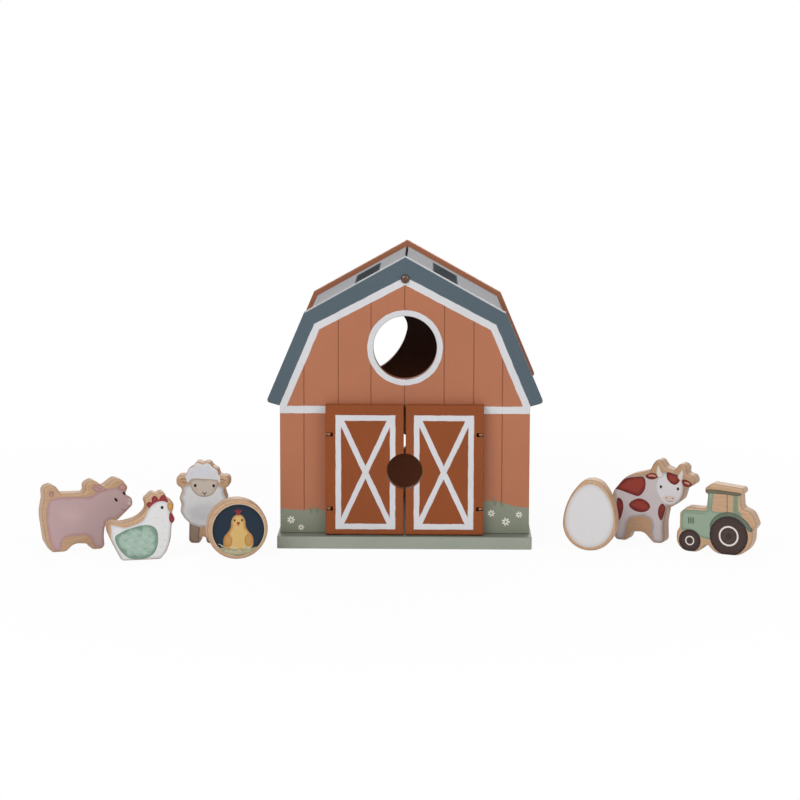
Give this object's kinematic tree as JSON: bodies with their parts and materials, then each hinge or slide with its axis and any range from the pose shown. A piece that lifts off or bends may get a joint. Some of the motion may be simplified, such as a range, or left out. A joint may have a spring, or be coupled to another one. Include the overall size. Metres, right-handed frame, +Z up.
{
  "type": "barn shape sorter",
  "caption": "Painted wooden barn shape sorter: gambrel roof, hinged front doors, round gable window, shaped wall holes, and loose farm-shaped blocks that drop through them.",
  "frame": {"origin": "middle of the base board's underside, on the surface that the toy stands on", "axes": "+Z up, -Y out of the front with the doors, +X to the right seen from the front"},
  "size_m": [0.5803, 0.2597, 0.2364],
  "materials": {
    "base_paint": "painted, satin",
    "wall_paint": "painted, satin",
    "roof_paint": "painted, satin",
    "beam_paint": "painted, satin",
    "door_paint": "painted, satin",
    "block_wood": "clear lacquered, satin",
    "dowel_wood": "bare",
    "bronze": "antique plated",
    "brass": "polished",
    "steel": "zinc plated"
  },
  "bodies": {
    "barn": {"base_board": "base_paint", "base_screws": "steel", "wall_dowels": "dowel_wood", "front_wall": "wall_paint", "back_wall": "wall_paint", "left_side_wall": "wall_paint", "right_side_wall": "wall_paint", "left_upper_roof": "roof_paint", "left_lower_roof": "roof_paint", "right_upper_roof": "roof_paint", "right_lower_roof": "roof_paint", "ridge_beam": "beam_paint", "front_ridge_screw": "bronze", "back_ridge_screw": "bronze", "left_hinge_eyes": "brass", "right_hinge_eyes": "brass"},
    "left_door_body": {"left_door": "door_paint", "left_door_pin": "steel"},
    "right_door_body": {"right_door": "door_paint", "right_door_pin": "steel"},
    "pig_body": {"pig_block": "block_wood"},
    "hen_body": {"hen_block": "block_wood"},
    "sheep_body": {"sheep_block": "block_wood"},
    "chick_body": {"chick_disc": "block_wood"},
    "egg_body": {"egg_block": "block_wood"},
    "cow_body": {"cow_block": "block_wood"},
    "tractor_body": {"tractor_block": "block_wood"}
  },
  "joints": [
    {"name": "left_door_hinge", "type": "hinge", "parent": "barn", "child": "left_door_body", "pos_m": [-0.0611, -0.09315, 0.064], "axis": [0, 0, -1], "range_deg": [0, 180]},
    {"name": "right_door_hinge", "type": "hinge", "parent": "barn", "child": "right_door_body", "pos_m": [0.0611, -0.09315, 0.064], "axis": [0, 0, 1], "range_deg": [0, 180]},
    {"name": "pig_lift", "type": "slide", "parent": "barn", "child": "pig_body", "axis": [0, 0, 1], "range_m": [0, 0.12]},
    {"name": "hen_lift", "type": "slide", "parent": "barn", "child": "hen_body", "axis": [0, 0, 1], "range_m": [0, 0.12]},
    {"name": "sheep_lift", "type": "slide", "parent": "barn", "child": "sheep_body", "axis": [0, 0, 1], "range_m": [0, 0.12]},
    {"name": "chick_lift", "type": "slide", "parent": "barn", "child": "chick_body", "axis": [0, 0, 1], "range_m": [0, 0.12]},
    {"name": "egg_lift", "type": "slide", "parent": "barn", "child": "egg_body", "axis": [0, 0, 1], "range_m": [0, 0.12]},
    {"name": "cow_lift", "type": "slide", "parent": "barn", "child": "cow_body", "axis": [0, 0, 1], "range_m": [0, 0.12]},
    {"name": "tractor_lift", "type": "slide", "parent": "barn", "child": "tractor_body", "axis": [0, 0, 1], "range_m": [0, 0.12]}
  ]
}
